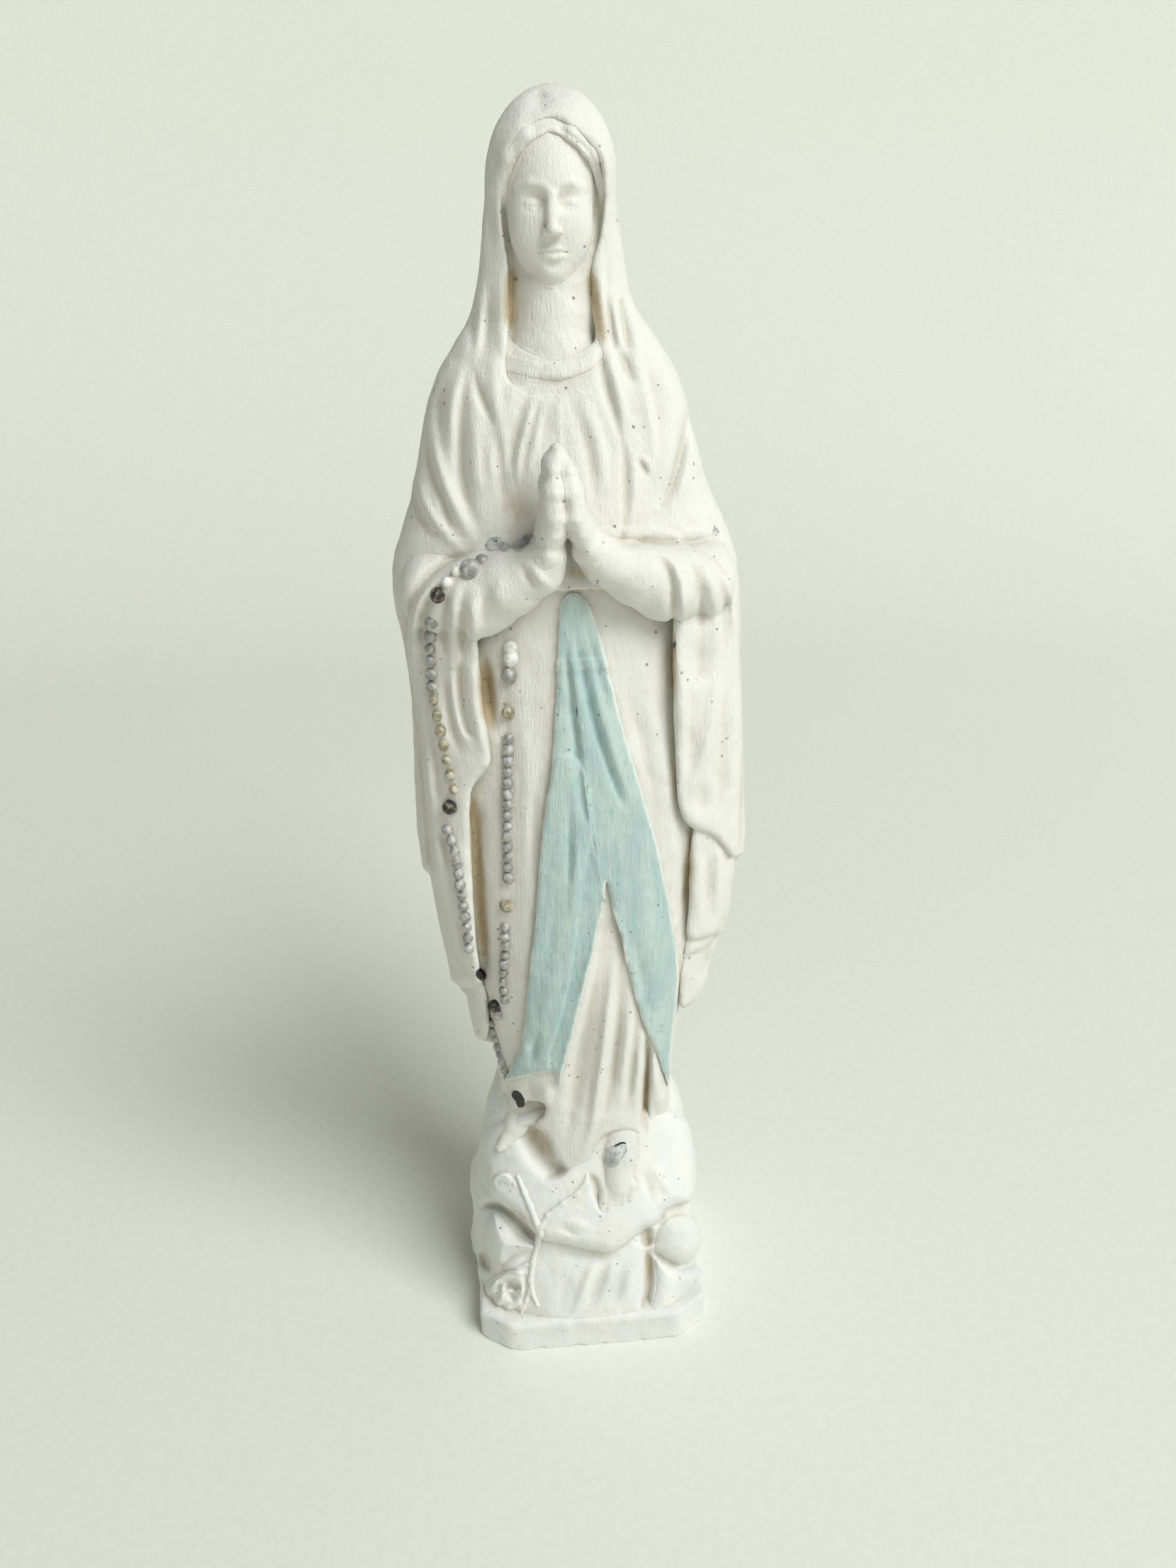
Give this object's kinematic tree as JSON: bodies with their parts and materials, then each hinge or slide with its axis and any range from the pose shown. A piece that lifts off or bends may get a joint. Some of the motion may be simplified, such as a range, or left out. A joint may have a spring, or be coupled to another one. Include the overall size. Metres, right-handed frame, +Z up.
{
  "type": "madonna statuette",
  "caption": "Cast plaster standing Madonna in veil, mantle and tunic with a painted sash, joined hands and a relief rosary, on a rocky mound and plain chamfered plinth.",
  "frame": {"origin": "centre of the plinth's flat resting face", "axes": "+Z up along the figure, -Y the way the figure faces, +X to the viewer's right"},
  "size_m": [0.0667, 0.0507, 0.25],
  "materials": {
    "plaster_figure": "matte",
    "plaster_base": "matte",
    "sash_paint": "matte",
    "bead_paint": "satin"
  },
  "bodies": {
    "root": {"plinth": "plaster_base", "rock_mound": "plaster_base", "front_ledge": "plaster_base", "left_boulder": "plaster_base", "right_boulder": "plaster_base", "round_stone": "plaster_base", "rose_stem": "plaster_base", "rose_flowers": "plaster_base", "left_foot": "plaster_figure", "right_foot": "plaster_figure", "tunic_skirt": "plaster_figure", "tunic_bodice": "plaster_figure", "neckline_band": "plaster_figure", "mantle_back": "plaster_figure", "mantle_left_fall": "plaster_figure", "mantle_right_fall": "plaster_figure", "mantle_left_shoulder": "plaster_figure", "mantle_right_shoulder": "plaster_figure", "left_sleeve": "plaster_figure", "right_sleeve": "plaster_figure", "left_hand": "plaster_figure", "right_hand": "plaster_figure", "neck": "plaster_figure", "head": "plaster_figure", "hair": "plaster_figure", "veil": "plaster_figure", "sash_waist": "sash_paint", "sash_left_tail": "sash_paint", "sash_right_tail": "sash_paint", "rosary_side_strand": "bead_paint", "rosary_front_strand": "bead_paint", "rosary_pendant": "bead_paint"}
  },
  "joints": []
}
